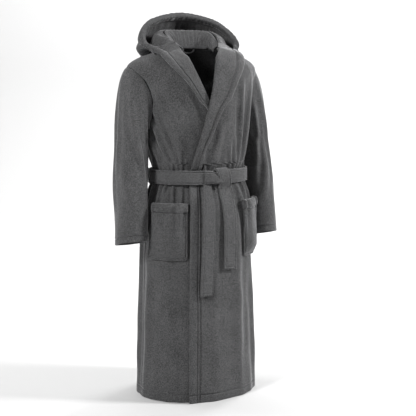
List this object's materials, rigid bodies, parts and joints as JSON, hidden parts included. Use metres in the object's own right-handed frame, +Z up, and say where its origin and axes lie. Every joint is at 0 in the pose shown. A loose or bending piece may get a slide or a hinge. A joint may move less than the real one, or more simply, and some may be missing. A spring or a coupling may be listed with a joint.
{
  "type": "bathrobe",
  "caption": "Long hooded wrap bathrobe in plush cloth, standing as if worn: shawl lapels, long sleeves, patch pockets and a tied waist belt with hanging tails.",
  "frame": {"origin": "centre of the bounding box, at the height of the hem's underside, on which the robe stands", "axes": "+Z up from hem to hood; the front faces -Y; the wearer's left is +X"},
  "size_m": [0.632, 0.3908, 1.3434],
  "materials": {
    "plush": "dark grey short-pile plush, matt with a soft sheen at the edges",
    "belt_plush": "the same plush, two plies, topstitched",
    "woven_tape": "flat woven cotton tape"
  },
  "bodies": {
    "robe": {"back_panel": "plush", "hem_back": "plush", "front_panel_left": "plush", "front_band_left": "plush", "hem_front_left": "plush", "lapel_left": "plush", "pocket_left": "plush", "pocket_band_left": "plush", "belt_loop_left": "plush", "front_panel_right": "plush", "front_band_right": "plush", "hem_front_right": "plush", "lapel_right": "plush", "pocket_right": "plush", "pocket_band_right": "plush", "belt_loop_right": "plush", "collar_roll": "plush", "neck_tape": "woven_tape", "belt_waist": "belt_plush", "belt_knot": "belt_plush"},
    "left_sleeve": {"sleeve_left": "plush", "cuff_hem_left": "plush"},
    "right_sleeve": {"sleeve_right": "plush", "cuff_hem_right": "plush"},
    "hood": {"hood_left": "plush", "hood_right": "plush", "hood_rim": "plush"},
    "long_tail": {"belt_tail_long": "belt_plush"},
    "short_tail": {"belt_tail_short": "belt_plush"},
    "hang_loop": {"hanging_loop": "woven_tape"}
  },
  "joints": [
    {"name": "sleeve_swing_left", "type": "hinge", "parent": "robe", "child": "left_sleeve", "pos_m": [0.239, 0.028, 1.158], "axis": [0, -1, 0], "range_deg": [0, 35]},
    {"name": "sleeve_swing_right", "type": "hinge", "parent": "robe", "child": "right_sleeve", "pos_m": [-0.239, 0.028, 1.158], "axis": [0, 1, 0], "range_deg": [0, 35]},
    {"name": "hood_lift", "type": "hinge", "parent": "robe", "child": "hood", "pos_m": [0, -0.004, 1.245], "axis": [1, 0, 0], "range_deg": [0, 40]},
    {"name": "long_tail_swing", "type": "hinge", "parent": "robe", "child": "long_tail", "pos_m": [-0.031, -0.16, 0.753], "axis": [-1, 0, 0], "range_deg": [0, 60]},
    {"name": "short_tail_swing", "type": "hinge", "parent": "robe", "child": "short_tail", "pos_m": [0.033, -0.16, 0.753], "axis": [-1, 0, 0], "range_deg": [0, 60]},
    {"name": "hanging_loop_swing", "type": "hinge", "parent": "robe", "child": "hang_loop", "pos_m": [0, 0.052, 1.217], "axis": [-1, 0, 0], "range_deg": [0, 100]}
  ]
}
